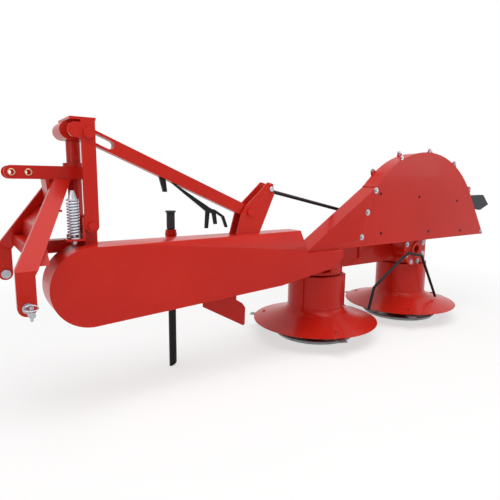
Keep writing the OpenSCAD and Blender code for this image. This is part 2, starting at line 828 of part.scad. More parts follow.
module along_strut() {
  translate([strut_pin_x, 0, strut_pin_z]) rotate([0, strut_tilt, 0]) children();
}

// Outline of the whole strut, from which its bar, slot rails and tip are cut
module strut_outline() {
  block([-strut_len, strut_y0, -strut_h / 2], [strut_len, strut_t, strut_h]);
  for (x = [0, -strut_len]) bar_y(x, strut_y0, 0, strut_h, strut_t);
}

// Solid bar from the lower pin to the root of the slot
module lift_strut() {
  color(red) in_frame() along_strut() difference() {
    intersection() {
      strut_outline();
      block([slot_root, strut_y0, -strut_h], [2 * strut_len, strut_t, 2 * strut_h]);
    }
    bar_y(0, strut_y0 - 1, 0, strut_pin_d + 2 * fit, strut_t + 2);
  }
}

// One side of the slot that the lift pin runs in, from z up
module slot_rail(z) {
  intersection() {
    strut_outline();
    block([slot_tip, strut_y0, z], [slot_root - slot_tip, strut_t, strut_h - slot_w / 2]);
  }
}

module strut_rail_top() {
  color(red) in_frame() along_strut() slot_rail(slot_w / 2);
}

module strut_rail_low() {
  color(red) in_frame() along_strut() slot_rail(-strut_h);
}

// Round end that closes the slot
module strut_tip() {
  color(red) in_frame() along_strut() intersection() {
    strut_outline();
    block([slot_tip - strut_h, strut_y0, -strut_h], [strut_h, strut_t, 2 * strut_h]);
  }
}

// Height of the strut's underside at x
function strut_under(x) =
  strut_pin_z + (strut_pin_x - x) * tan(strut_tilt) - strut_h / 2 / cos(strut_tilt);

// Forked bar and tab carried under the strut for changing the knives
module knife_lever() {
  t = 16;
  color(black) in_frame() upright(strut_y - t / 2, t) {
    polygon([[320, strut_under(320)], [350, strut_under(350)], [356, 904], [338, 904]]);
    polygon([
      [372, strut_under(372)], [398, strut_under(398)], [575, 826], [600, 818], [648, 787], [668, 733],
      [656, 731], [637, 781], [602, 803], [609, 751], [594, 749], [584, 800], [568, 806], [560, 733],
      [545, 732], [550, 812]
    ]);
  }
}

// Stand

// Plain tube with a slanted foot
module stand_leg() {
  foot_slant = 30;
  color(black) in_frame() translate([stand_x, stand_y, 0]) difference() {
    cylinder(d = stand_d, h = stand_top_z - grip_h);
    translate([-stand_d / 2, 0, 0]) rotate([0, -foot_slant, 0]) block([-stand_d, -stand_d, -stand_d], [4 * stand_d, 2 * stand_d, stand_d]);
  }
}

module stand_grip() {
  color(black) in_frame() translate([stand_x, stand_y, 0]) {
    translate([0, 0, stand_top_z - grip_h]) cylinder(d = stand_d + 4, h = grip_h - grip_rim);
    translate([0, 0, stand_top_z - grip_rim]) cylinder(d = stand_d + 14, h = grip_rim);
  }
}

// Drums

module drum(x, phase) {
  ribs = 3;
  r = drum_d / 2;
  hub_r = column_d / 2 + fit;
  dish_r = dish_d / 2;
  translate([x, drum_y, 0]) {
    rotate_extrude($fn = 96) polygon([
      [r, drum_top_z], [hub_r, drum_top_z], [hub_r, drum_top_z - 60], [hub_r + 12, drum_top_z - 60],
      [hub_r + 12, drum_top_z - 10], [r - drum_wall, drum_top_z - 10], [r - drum_wall, drum_foot_z - drum_wall],
      [dish_r - 140, rim_z + 30], [dish_r - 2, rim_z - 4], [dish_r, rim_z], [dish_r - 90, rim_z + 24],
      [r + 40, drum_foot_z - 20], [r + 12, drum_foot_z - 2], [r, drum_foot_z + 14]
    ]);
    for (i = [0 : ribs - 1]) rotate([0, 0, phase + i * 360 / ribs])
      block([r - 1, -5, drum_foot_z + 10], [11, 10, drum_top_z - drum_foot_z - 14]);
  }
}
module drum_inner() color(red) in_frame() drum(drum_x, rib_phase);
module drum_outer() color(red) in_frame() drum(drum_x2, rib_phase);

module knives(x, phase) {
  count = 3;
  pin_r = 330;
  z = rim_z - 14;
  translate([x, drum_y, 0]) for (i = [0 : count - 1]) rotate([0, 0, phase + i * 360 / count]) {
    block([pin_r - 24, -24, z], [knife_reach - pin_r + 24, 48, 4]);
    translate([pin_r, 0, z]) cylinder(d = 26, h = 26);
  }
}
module knives_inner() color(steel) in_frame() knives(drum_x, knife_phase);
module knives_outer() color(steel) in_frame() knives(drum_x2, -knife_phase);

module skid(x) {
  r = skid_d / 2;
  translate([x, drum_y, 0]) rotate_extrude($fn = 72) polygon([
    [0, 0], [r - 70, 0], [r - 20, 14], [r, 36], [r - 4, 40], [r - 26, 22], [90, 22], [46, skid_top_z],
    [spindle_d / 2, skid_top_z], [spindle_d / 2, skid_top_z + spindle_h], [0, skid_top_z + spindle_h]
  ]);
}
module skid_inner() color(black) in_frame() skid(drum_x);
module skid_outer() color(black) in_frame() skid(drum_x2);

upper_sleeve();
lower_yoke();
top_link_bar_l();
top_link_bar_r();
bar_brace();
front_plate();
leg_l();
leg_r();
hitch_pin_l();
hitch_pin_r();
swing_post();
mast_head();
hanger_bar();
lift_pin();
lift_pin_head();
pivot_bolt();
spring_seat();
spring_rod();
relief_spring();
belt_guard();
guard_back();
carrier_beam();
pivot_bracket();
input_bearing();
strut_bracket();
stand_sleeve();
deflector();
inner_housing();
outer_housing();
drum_beam();
bearing_cover();
hood_panel();
hood_rim();
hood_wing();
hood_posts();
tie_rod();
guard_bar();
end_flap();
drive_stub();
lift_strut();
strut_rail_top();
strut_rail_low();
strut_tip();
strut_pin();
knife_lever();
stand_leg();
stand_grip();
drum_inner();
knives_inner();
drum_outer();
knives_outer();
skid_inner();
skid_outer();
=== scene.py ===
"""Looks of the two-drum mower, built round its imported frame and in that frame's metres."""
import json
import math

import bmesh
import bpy
from mathutils import Matrix, Vector


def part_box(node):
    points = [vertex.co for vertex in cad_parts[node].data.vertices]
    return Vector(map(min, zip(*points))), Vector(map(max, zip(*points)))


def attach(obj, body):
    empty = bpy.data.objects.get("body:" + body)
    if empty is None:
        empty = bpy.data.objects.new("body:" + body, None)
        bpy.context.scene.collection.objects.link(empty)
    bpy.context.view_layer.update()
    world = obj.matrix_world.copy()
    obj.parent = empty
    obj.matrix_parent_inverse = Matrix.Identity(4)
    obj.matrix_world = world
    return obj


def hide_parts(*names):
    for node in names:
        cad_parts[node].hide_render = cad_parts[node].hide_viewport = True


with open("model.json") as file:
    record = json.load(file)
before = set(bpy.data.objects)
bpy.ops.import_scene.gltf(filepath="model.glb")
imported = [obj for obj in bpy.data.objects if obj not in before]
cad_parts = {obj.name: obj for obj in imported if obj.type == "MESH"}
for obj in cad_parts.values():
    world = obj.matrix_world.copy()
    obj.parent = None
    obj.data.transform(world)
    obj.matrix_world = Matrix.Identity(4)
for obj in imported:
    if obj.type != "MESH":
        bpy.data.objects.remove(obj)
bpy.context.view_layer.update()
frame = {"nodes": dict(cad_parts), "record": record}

# Studio: the mower stands on a pale sweep under one broad overhead softbox, with weaker side panels.
# The camera stands to the tractor's left, level with the hood, and looks a little down along the arm.
sleeve_low, sleeve_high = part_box("upper_sleeve")
post_x = (sleeve_low[0] + sleeve_high[0]) / 2
scene = bpy.context.scene
scene.view_settings.view_transform = "Standard"


def at(x, y, z):
    """A place given in millimetres from the foot of the swing post."""
    return Vector((post_x + x / 1000, y / 1000, z / 1000))


class Value:
    """A shader socket that can be used in Python arithmetic."""

    def __init__(self, finish, socket):
        self.finish, self.socket = finish, socket

    def _math(self, operation, first, second):
        return self.finish.node("ShaderNodeMath", {"operation": operation}, {0: first, 1: second})

    def __add__(self, other):
        return self._math("ADD", self, other)

    def __rsub__(self, other):
        return self._math("SUBTRACT", other, self)

    def __mul__(self, other):
        return self._math("MULTIPLY", self, other)

    __radd__, __rmul__ = __add__, __mul__


class Finish:
    """A material, or the world, while its nodes are being laid out."""

    def __init__(self, owner, shader, output):
        owner.use_nodes = True
        self.owner, self.tree = owner, owner.node_tree
        self.tree.nodes.clear()
        self.shader = self.tree.nodes.new(shader)
        self.output = self.tree.nodes.new(output)
        self.tree.links.new(self.shader.outputs[0], self.output.inputs["Surface"])

    def feed(self, node, sockets):
        """Set each socket to a number or colour, or link it to a value."""
        for key, value in sockets.items():
            if isinstance(value, Value):
                self.tree.links.new(value.socket, node.inputs[key])
            else:
                node.inputs[key].default_value = value

    def node(self, kind, settings=None, sockets=None, out=0):
        """Add a node, with its settings and sockets, and give back one of its outputs."""
        node = self.tree.nodes.new(kind)
        for key, value in (settings or {}).items():
            setattr(node, key, value)
        self.feed(node, sockets or {})
        return Value(self, node.outputs[out])

    def noise(self, scale, detail=3.0, rough=0.5):
        place = self.node("ShaderNodeTexCoord", out="Object")
        return self.node("ShaderNodeTexNoise", None,
                         {"Vector": place, "Scale": scale, "Detail": detail, "Roughness": rough})

    def between(self, factor, low, high):
        """A value that ramps from 0 to 1 as factor goes from low to high."""
        return self.node("ShaderNodeMapRange", {"clamp": True},
                         {"Value": factor, "From Min": low, "From Max": high})

    def blend(self, factor, first, second):
        return self.node("ShaderNodeMix", {"data_type": "RGBA"},
                         {"Factor": factor, 6: first, 7: second}, out=2)

    def bump(self, height, strength, distance):
        return self.node("ShaderNodeBump", None,
                         {"Height": height, "Strength": strength, "Distance": distance})


def material(name, **constants):
    """A new Principled material with the named sockets set, such as Metallic=1."""
    finish = Finish(bpy.data.materials.new(name), "ShaderNodeBsdfPrincipled", "ShaderNodeOutputMaterial")
    finish.feed(finish.shader, {key.replace("_", " "): value for key, value in constants.items()})
    return finish


camera_place = at(-447, -1975, 961)
yaw, pitch, roll = 0.6074, 0.157, 0.0125
forward = Vector((math.sin(yaw) * math.cos(pitch), math.cos(yaw) * math.cos(pitch), -math.sin(pitch)))
level = Vector((math.cos(yaw), -math.sin(yaw), 0.0))
right = math.cos(roll) * level + math.sin(roll) * level.cross(forward)
camera_data = bpy.data.cameras.new("photographer")
camera_data.sensor_width, camera_data.lens, camera_data.shift_x = 36.0, 31.86, -0.01
camera = bpy.data.objects.new("photographer", camera_data)
camera.matrix_world = Matrix.Translation(camera_place) @ Matrix(
    (right, right.cross(forward), -forward)).transposed().to_4x4()
scene.collection.objects.link(camera)
scene.camera = camera


def softbox(name, place, target, size, energy):
    """A rectangular lamp at a place, turned to its target; size in metres and energy in watts."""
    lamp = bpy.data.lights.new(name, "AREA")
    lamp.shape, lamp.size, lamp.size_y, lamp.energy = "RECTANGLE", size[0], size[1], energy
    holder = bpy.data.objects.new(name, lamp)
    aim = (target - place).to_track_quat("-Z", "Y").to_matrix().to_4x4()
    holder.matrix_world = Matrix.Translation(place) @ aim
    scene.collection.objects.link(holder)


softbox("overhead", Vector((-0.6, -1.2, 4.6)), Vector((0.1, 0, 0.4)), (5.0, 3.4), 150)
softbox("left_panel", Vector((-4.6, -2.4, 2.2)), Vector((0, 0, 0.6)), (2.6, 2.2), 34)
softbox("right_panel", Vector((3.8, -3.4, 2.0)), Vector((0.4, 0, 0.5)), (2.4, 2.0), 26)

sky = Finish(bpy.data.worlds.new("pale_room"), "ShaderNodeBackground", "ShaderNodeOutputWorld")
scene.world = sky.owner


def seen(finish):
    """1 for rays that show the background, straight on or in a shine, and 0 for those that only light."""
    rays = [finish.node("ShaderNodeLightPath", out=kind)
            for kind in ("Is Camera Ray", "Is Glossy Ray", "Is Transmission Ray")]
    return finish.between(rays[0] + rays[1] + rays[2], 0.0, 1.0)


room_light = 0.46
sky.feed(sky.shader, {"Color": (1.0, 1.0, 1.0, 1.0), "Strength": room_light + (1.0 - room_light) * seen(sky)})

floor_mesh = bpy.data.meshes.new("sweep")
floor_half = 40
floor_corners = [(floor_half * x, floor_half * y, 0) for x, y in ((-1, -1), (1, -1), (1, 1), (-1, 1))]
floor_mesh.from_pydata(floor_corners, [], [(0, 1, 2, 3)])
sweep = bpy.data.objects.new("sweep", floor_mesh)
scene.collection.objects.link(sweep)
pale = material("pale_floor", Roughness=0.9)
grain = pale.noise(4.0)
pale.feed(pale.shader, {"Base Color": pale.blend(grain, (0.93, 0.93, 0.92, 1), (0.96, 0.955, 0.95, 1))})
away = pale.node("ShaderNodeVectorMath", {"operation": "LENGTH"},
                 {0: pale.node("ShaderNodeTexCoord", out="Object")}, out="Value")
near_share, sweep_start, sweep_end = 0.6, 1.7, 3.2
veil = seen(pale) * (near_share + (1.0 - near_share) * pale.between(away, sweep_start, sweep_end))
glow = pale.node("ShaderNodeEmission", None, {"Color": (1, 1, 1, 1), "Strength": 1.0})
lit = Value(pale, pale.shader.outputs[0])
pale.feed(pale.output, {"Surface": pale.node("ShaderNodeMixShader", None, {0: veil, 1: lit, 2: glow})})
floor_mesh.materials.append(pale.owner)

# Headstock: the tractor's end, welded from flat bar, tube and folded sheet, and sprayed in one red.
# Two splayed legs run down from the upper sleeve to the lower hitch pins, with the yoke between them.
record = frame["record"]
body_of = {node: body for body, group in record["behaviour"]["bodies"].items() for node in group}
slot_of = {part["node"]: part["material_slot"] for part in record["subparts"]}


def red_enamel():
    """Factory gloss: a strong red with a little orange peel and a thin clear top coat."""
    paint = material("red_enamel", Coat_Roughness=0.08, Specular_IOR_Level=0.14)
    cloudy = paint.noise(1.6, 2.0)
    colour = paint.blend(paint.between(cloudy, 0.3, 0.7), (0.455, 0.010, 0.005, 1), (0.53, 0.017, 0.008, 1))
    dusty = paint.between(paint.noise(24.0, 4.0, 0.6), 0.52, 0.9)
    paint.feed(paint.shader, {
        "Base Color": paint.blend(0.07 * dusty, colour, (0.45, 0.14, 0.10, 1)),
        "Roughness": 0.26 + 0.10 * dusty + 0.05 * cloudy,
        "Coat Weight": 0.10 - 0.05 * dusty,
        "Normal": paint.bump(paint.noise(420.0, 1.0), 0.035, 0.0006),
    })
    return paint.owner


def black_enamel():
    """Black gloss on rods and levers, rubbed paler in small patches."""
    paint = material("black_enamel", Coat_Roughness=0.12, Specular_IOR_Level=0.15)
    scuff = paint.between(paint.noise(60.0, 5.0, 0.65), 0.55, 0.85)
    paint.feed(paint.shader, {
        "Base Color": paint.blend(0.5 * scuff, (0.006, 0.006, 0.007, 1), (0.03, 0.03, 0.033, 1)),
        "Roughness": 0.32 + 0.22 * scuff, "Coat Weight": 0.06 - 0.04 * scuff,
        "Normal": paint.bump(paint.noise(300.0, 1.0), 0.05, 0.0006),
    })
    return paint.owner


def zinc_plate():
    """Bright plating with faint cloudy spangle."""
    metal = material("zinc_plate", Metallic=1.0)
    cloud = metal.noise(70.0, 4.0, 0.6)
    metal.feed(metal.shader, {
        "Base Color": metal.blend(metal.between(cloud, 0.3, 0.7), (0.36, 0.38, 0.42, 1), (0.54, 0.55, 0.57, 1)),
        "Roughness": 0.20 + 0.22 * cloud,
        "Normal": metal.bump(metal.noise(700.0, 2.0), 0.06, 0.0003),
    })
    return metal.owner


def hard_steel():
    """Bare ground steel of the knives and skids, with a brown bloom."""
    metal = material("hard_steel", Metallic=0.9)
    bloom = metal.between(metal.noise(18.0, 6.0, 0.7), 0.45, 0.75)
    metal.feed(metal.shader, {
        "Base Color": metal.blend(bloom, (0.24, 0.24, 0.25, 1), (0.17, 0.13, 0.105, 1)),
        "Roughness": 0.34 + 0.3 * bloom,
        "Normal": metal.bump(metal.noise(240.0, 5.0, 0.7), 0.12, 0.0008),
    })
    return metal.owner


def moulded_rubber():
    """Black rubber with a fine moulded grain."""
    rubber = material("moulded_rubber", Specular_IOR_Level=0.35)
    worn = rubber.noise(45.0, 4.0, 0.6)
    rubber.feed(rubber.shader, {
        "Base Color": rubber.blend(worn, (0.014, 0.015, 0.018, 1), (0.045, 0.048, 0.058, 1)),
        "Roughness": 0.55 + 0.2 * worn,
        "Normal": rubber.bump(rubber.noise(260.0, 3.0), 0.2, 0.0008),
    })
    return rubber.owner


def pale_brass():
    """Yellow-plated bushes, stained in the handling."""
    metal = material("pale_brass", Metallic=1.0)
    stain = metal.noise(90.0, 4.0, 0.6)
    metal.feed(metal.shader, {
        "Base Color": metal.blend(stain, (0.62, 0.52, 0.30, 1), (0.48, 0.38, 0.22, 1)),
        "Roughness": 0.26 + 0.2 * stain,
    })
    return metal.owner


enamel, black, zinc, brass = red_enamel(), black_enamel(), zinc_plate(), pale_brass()
steel, rubber = hard_steel(), moulded_rubber()
finish_of_slot = {"red_paint": enamel, "black_paint": black, "bright_steel": zinc,
                  "spring_steel": zinc, "knife_steel": steel, "grip_rubber": rubber}


def from_bmesh(name, bm, look, smooth=40.0):
    """A new piece from a finished bmesh, shaded smooth up to an angle in degrees."""
    mesh = bpy.data.meshes.new(name)
    bm.to_mesh(mesh)
    bm.free()
    mesh.materials.append(look)
    mesh.polygons.foreach_set("use_smooth", [True] * len(mesh.polygons))
    mesh.set_sharp_from_angle(angle=math.radians(smooth))
    piece = bpy.data.objects.new(name, mesh)
    scene.collection.objects.link(piece)
    return piece


def stands_for(piece, node):
    """Put a piece in the place of a solid, on its body and in its finish."""
    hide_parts(node)
    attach(piece, body_of[node])


def fixed_to(piece, body):
    """Fix a small extra piece to a body."""
    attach(piece, body)


merge_gap, flat_angle, corner_angle = 2e-5, math.radians(0.6), math.radians(32)


def dressed(node, edge):
    """The solid as one clean skin whose corners are rounded by edge millimetres."""
    bm = bmesh.new()
    bm.from_mesh(frame["nodes"][node].data)
    bmesh.ops.remove_doubles(bm, verts=bm.verts, dist=merge_gap)
    bmesh.ops.dissolve_limit(bm, angle_limit=flat_angle, verts=bm.verts, edges=bm.edges)
    piece = from_bmesh(node + "_skin", bm, finish_of_slot[slot_of[node]])
    rounding = piece.modifiers.new("corners", "BEVEL")
    rounding.width, rounding.segments, rounding.angle_limit = edge / 1000, 2, corner_angle
    rounding.limit_method, rounding.harden_normals = "ANGLE", True
    stands_for(piece, node)


for node, edge in {"upper_sleeve": 2.0, "lower_yoke": 3.0, "top_link_bar_l": 2.0, "top_link_bar_r": 2.0,
                   "bar_brace": 1.5, "front_plate": 1.5, "leg_l": 4.0, "leg_r": 4.0,
                   "hitch_pin_l": 1.5, "hitch_pin_r": 1.5}.items():
    dressed(node, edge)


def lathe(name, profile, place, look, turn=Matrix.Identity(4), segments=96, smooth=35.0):
    """A turned form: radius and height pairs in millimetres, a closed loop unless it starts on the axis."""
    bm = bmesh.new()
    rings = [[bm.verts.new((r / 1000 * math.cos(a), r / 1000 * math.sin(a), z / 1000)) for r, z in profile]
             for a in (2 * math.pi * k / segments for k in range(segments))]
    solid = profile[0][0] == 0
    for k, ring in enumerate(rings):
        after = rings[(k + 1) % segments]
        for i in range(len(profile) - solid):
            j = (i + 1) % len(profile)
            bm.faces.new((ring[i], after[i], after[j], ring[j]))
    bmesh.ops.remove_doubles(bm, verts=bm.verts, dist=1e-6)
    bmesh.ops.recalc_face_normals(bm, faces=bm.faces)
    bmesh.ops.transform(bm, matrix=Matrix.Translation(place) @ turn, verts=bm.verts)
    return from_bmesh(name, bm, look, smooth)


def swept(name, path, radius, look, sides=14):
    """A round bar along a list of points, closed at both ends; radius is a size or a function of the step."""
    bm = bmesh.new()
    side = None
    rings = []
    for i, point in enumerate(path):
        along = (path[min(i + 1, len(path) - 1)] - path[max(i - 1, 0)]).normalized()
        side = along.orthogonal() if side is None else side - along * side.dot(along)
        side.normalize()
        other = along.cross(side)
        r = radius(i) if callable(radius) else radius
        rings.append([bm.verts.new(point + r * (math.cos(a) * side + math.sin(a) * other))
                      for a in (2 * math.pi * k / sides for k in range(sides))])
    for low, high in zip(rings, rings[1:]):
        for k in range(sides):
            bm.faces.new((low[k], low[(k + 1) % sides], high[(k + 1) % sides], high[k]))
    bm.faces.new(reversed(rings[0]))
    bm.faces.new(rings[-1])
    bmesh.ops.recalc_face_normals(bm, faces=bm.faces)
    return from_bmesh(name, bm, look, 60.0)


bead_step, bead_r, ripple, ripple_turn = 0.0022, 0.0034, 0.0005, 2.1


def weld(name, body, start, end):
    """A hand-laid bead along a corner, rippled at an even pace."""
    count = max(8, int((end - start).length / bead_step))
    path = [start.lerp(end, i / count) for i in range(count + 1)]
    bead = swept(name, path, lambda i: bead_r + ripple * math.sin(ripple_turn * i), enamel, sides=8)
    fixed_to(bead, body)


toward_viewer = Matrix.Rotation(math.pi / 2, 4, "X")
toward_far = Matrix.Rotation(-math.pi / 2, 4, "X")
root = body_of["leg_l"]
bush = [(9.9, 0), (13.4, 0), (13.4, 2), (12.4, 3), (9.9, 3)]
bar_face_y, link_hole_z = 55, 980
for hole, x in (("tip", -238), ("inner", -180)):
    for label, side, turn in (("l", -1, toward_viewer), ("r", 1, toward_far)):
        place = at(x, side * bar_face_y, link_hole_z)
        fixed_to(lathe(f"bush_{hole}_{label}", bush, place, brass, turn, segments=40), root)
hitch_x, hitch_z, linch_y = -250, 520, 425.5
point_r, shank_r, ring_wire, ring_r = 0.0032, 0.0048, 0.0022, 0.021
ring_steps, ring_start, ring_step = 38, 95, 9.4
weld_start_x, weld_end_x, weld_z = -90, -32, 954
for label, side in (("l", -1), ("r", 1)):
    hole = at(hitch_x, side * linch_y, hitch_z)
    shank = [hole + Vector((0, 0, z)) for z in (-0.024, -0.021, 0.024, 0.027)]
    linchpin = swept(f"linchpin_{label}", shank, lambda i: shank_r if i else point_r, zinc, sides=16)
    fixed_to(linchpin, root)
    ring_middle = hole + Vector((0, -0.003 * side, 0.0195))
    loop = [ring_middle + ring_r * Vector((math.cos(a), 0.8 * math.sin(a), 0.3 * math.sin(a)))
            for a in (math.radians(ring_start + ring_step * k) for k in range(ring_steps))]
    fixed_to(swept(f"linchpin_ring_{label}", loop, ring_wire, zinc, sides=10), root)
    weld(f"leg_weld_{label}", root, at(weld_start_x, side * bar_face_y, weld_z),
         at(weld_end_x, side * bar_face_y, weld_z))

# Swing frame: the upright post that the whole mower turns on, capped by the mast head.
# A flat hanger bar carries the arm's pivot bolt, and the relief spring stands beside it.
for node, edge in {"swing_post": 2.0, "mast_head": 5.0, "hanger_bar": 3.0, "lift_pin": 2.0,
                   "lift_pin_head": 2.0, "pivot_bolt": 2.0, "spring_seat": 1.5, "spring_rod": 1.0}.items():
    dressed(node, edge)


def galvanised_wire():
    """Hot-dipped spring wire, pale and half dull."""
    metal = material("galvanised_wire", Metallic=0.55)
    bloom = metal.noise(120.0, 4.0, 0.6)
    metal.feed(metal.shader, {
        "Base Color": metal.blend(bloom, (0.50, 0.55, 0.64, 1), (0.66, 0.69, 0.74, 1)),
        "Roughness": 0.30 + 0.2 * bloom,
    })
    return metal.owner


spring_low, spring_high = (Vector(c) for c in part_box("relief_spring"))
coil_middle = (spring_low + spring_high) / 2
wire, turns, steps = 0.0042, 12, 28
coil_radius = (spring_high.x - spring_low.x) / 2 - wire
coil_rise = spring_high.z - spring_low.z - 2 * wire
coil_path = [Vector((coil_middle.x + coil_radius * math.cos(2 * math.pi * i / steps),
                     coil_middle.y + coil_radius * math.sin(2 * math.pi * i / steps),
                     spring_low.z + wire + coil_rise * i / (turns * steps)))
             for i in range(turns * steps + 1)]
stands_for(swept("relief_coil", coil_path, wire, galvanised_wire(), sides=10), "relief_spring")

# Belt arm: a closed guard of folded sheet over the belt, its rear top edge leaning along a slanting fold.
# Behind it runs the carrier beam, and the lug, cheeks and parking sleeve are welded on.
for node, edge in {"belt_guard": 6.0, "guard_back": 1.5, "carrier_beam": 4.0, "pivot_bracket": 2.5,
                   "input_bearing": 1.5, "strut_bracket": 2.0, "strut_pin": 1.5, "stand_sleeve": 1.5,
                   "deflector": 1.5}.items():
    dressed(node, edge)
arm = body_of["belt_guard"]
guard_top_z = 695
for name, (x0, y0), (x1, y1) in (("lug_weld_rear", (-5, -142), (45, -142)),
                                 ("lug_weld_side", (46, -141), (46, -88)),
                                 ("cheek_weld_near", (702, -166), (834, -166)),
                                 ("cheek_weld_far", (702, -94), (834, -94))):
    weld(name, arm, at(x0, y0, guard_top_z), at(x1, y1, guard_top_z))


def bolt_tree():
    """Hexagon bolts on washers, one at every point, each turned a little differently."""
    tree = bpy.data.node_groups.new("hex_bolts", "GeometryNodeTree")
    sockets = {"Places": "Geometry", "Across Flats": "Float", "Head Height": "Float", "Tilt": "Float",
               "Seed": "Int", "Finish": "Material"}
    for label, kind in sockets.items():
        tree.interface.new_socket(label, in_out="INPUT", socket_type="NodeSocket" + kind)
    tree.interface.new_socket("Bolts", in_out="OUTPUT", socket_type="NodeSocketGeometry")

    def place(kind, inputs, out=0, **settings):
        """Add a node with its inputs set or linked, a list being several links into one input."""
        node = tree.nodes.new(kind)
        for key, value in settings.items():
            setattr(node, key, value)
        for key, value in inputs.items():
            for source in value if isinstance(value, list) else [value]:
                if isinstance(source, bpy.types.NodeSocket):
                    tree.links.new(source, node.inputs[key])
                else:
                    node.inputs[key].default_value = source
        return node.outputs[out] if len(node.outputs) else node

    def times(socket, factor):
        return place("ShaderNodeMath", {0: socket, 1: factor}, operation="MULTIPLY")

    def raised(mesh, height):
        lift = place("ShaderNodeCombineXYZ", {"Z": height})
        return place("GeometryNodeTransform", {"Geometry": mesh, "Translation": lift})

    given = tree.nodes.new("NodeGroupInput").outputs
    across, tall = given["Across Flats"], given["Head Height"]
    corner = times(across, 1 / math.sqrt(3))
    washer_depth, head_depth = times(tall, 0.4), times(tall, 1.7)
    crown_foot_z, crown_depth = times(tall, 0.85), times(tall, 0.15)
    crown_foot_r, crown_top_r = times(corner, 0.86), times(corner, 0.66)
    washer = place("GeometryNodeMeshCylinder", {"Vertices": 20, "Radius": across, "Depth": washer_depth})
    head = place("GeometryNodeMeshCylinder", {"Vertices": 6, "Radius": corner, "Depth": head_depth})
    crown = place("GeometryNodeMeshCone", {"Vertices": 18, "Radius Top": crown_top_r,
                                           "Radius Bottom": crown_foot_r, "Depth": crown_depth})
    bolt = place("GeometryNodeJoinGeometry", {0: [washer, head, raised(crown, crown_foot_z)]})
    spin = place("FunctionNodeRandomValue", {2: 0.0, 3: math.pi / 3, "Seed": given["Seed"]}, out=1)
    turn = place("ShaderNodeCombineXYZ", {"X": given["Tilt"], "Y": spin})
    planted = place("GeometryNodeInstanceOnPoints",
                    {"Points": given["Places"], "Instance": bolt, "Rotation": turn})
    real = place("GeometryNodeRealizeInstances", {"Geometry": planted})
    coated = place("GeometryNodeSetMaterial", {"Geometry": real, "Material": given["Finish"]})
    place("NodeGroupOutput", {"Bolts": coated})
    return tree


hex_bolts = bolt_tree()


def bolted(name, body, places, across, height, tilt, seed, look=None):
    """A set of bolts, sizes in millimetres and plated unless told; tilt turns the heads from up to a side."""
    points = bpy.data.meshes.new(name + "_places")
    points.from_pydata(places, [], [])
    piece = bpy.data.objects.new(name, points)
    scene.collection.objects.link(piece)
    maker = piece.modifiers.new("bolts", "NODES")
    maker.node_group = hex_bolts
    values = {"Across Flats": across / 1000, "Head Height": height / 1000, "Tilt": tilt, "Seed": seed,
              "Finish": look or zinc}
    for socket in hex_bolts.interface.items_tree:
        if socket.name in values:
            maker[socket.identifier] = values[socket.name]
    view = bpy.context.evaluated_depsgraph_get()
    plain = bpy.data.meshes.new_from_object(piece.evaluated_get(view), depsgraph=view)
    piece.modifiers.clear()
    piece.data = plain
    fixed_to(piece, body)


rear, front, up = math.pi / 2, -math.pi / 2, 0.0
back_y, input_z, nose_circle = -73, 535, 138
back_top_z, back_foot_z, back_slope = 672, 402, 0.053
back_bolts = [at(x, back_y, back_top_z) for x in (200, 420, 640, 860, 1060)]
back_bolts += [at(x, back_y, back_foot_z + back_slope * x) for x in (180, 420, 660, 900)]
back_bolts += [at(nose_circle * math.cos(a), back_y, input_z + nose_circle * math.sin(a))
               for a in map(math.radians, (95, 140, 185, 230, 275))]
bolted("guard_back_bolts", arm, back_bolts, across=13, height=6, tilt=front, seed=3)

# Drive stub: the short splined shaft that takes the tractor's drive, with a groove for the yoke's latch.
# It stands out at the front of the guard, inside its bearing.
stub_low, stub_high = (Vector(c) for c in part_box("drive_stub"))
stub_axis = (stub_low + stub_high) / 2
shaft_r, spline_r, root_r, tip_r, teeth, stub_sides = 0.021, 0.01745, 0.0148, 0.01545, 6, 72
pitch_sides = stub_sides // teeth
stations = [(0.0, shaft_r, False), (0.0695, shaft_r, False), (0.070, spline_r, False), (0.080, spline_r, False),
            (0.0805, spline_r, True), (0.1155, spline_r, True), (0.117, root_r, False), (0.123, root_r, False),
            (0.1245, spline_r, True), (0.158, spline_r, True), (0.160, tip_r, False)]
bm = bmesh.new()
rings = []
for y, radius, toothed in stations:
    ring = []
    for k in range(stub_sides):
        a = 2 * math.pi * k / stub_sides
        gap = toothed and k % pitch_sides >= pitch_sides // 2
        r = root_r if gap else radius
        ring.append(bm.verts.new((stub_axis.x + r * math.cos(a), stub_low.y + y, stub_axis.z + r * math.sin(a))))
    rings.append(ring)
for low, high in zip(rings, rings[1:]):
    for k in range(stub_sides):
        bm.faces.new((low[k], low[(k + 1) % stub_sides], high[(k + 1) % stub_sides], high[k]))
bm.faces.new(reversed(rings[0]))
bm.faces.new(rings[-1])
bmesh.ops.recalc_face_normals(bm, faces=bm.faces)
stands_for(from_bmesh("splined_stub", bm, zinc, 30.0), "drive_stub")

# Lift strut and tie rod: the slotted strut hangs the arm from the mast, with the knife lever clipped below.
# A threaded rod ties the cheeks to the hood's first upright, held by a plated pin.
for node, edge in {"lift_strut": 1.0, "strut_rail_top": 1.0, "strut_rail_low": 1.0, "strut_tip": 1.0,
                   "knife_lever": 2.0, "tie_rod": 1.0}.items():
    dressed(node, edge)


def plate(name, outlines, offset, body):
    """Flat or folded red plates in one mesh: each a list of points for one face, the other moved by offset."""
    bm = bmesh.new()
    for near in outlines:
        faces = [[bm.verts.new(p + shift) for p in near] for shift in (Vector(), offset)]
        bm.faces.new(faces[0])
        bm.faces.new(reversed(faces[1]))
        for i in range(len(near)):
            j = (i + 1) % len(near)
            bm.faces.new((faces[0][j], faces[0][i], faces[1][i], faces[1][j]))
    bmesh.ops.recalc_face_normals(bm, faces=bm.faces)
    fixed_to(from_bmesh(name, bm, enamel, 30.0), body)


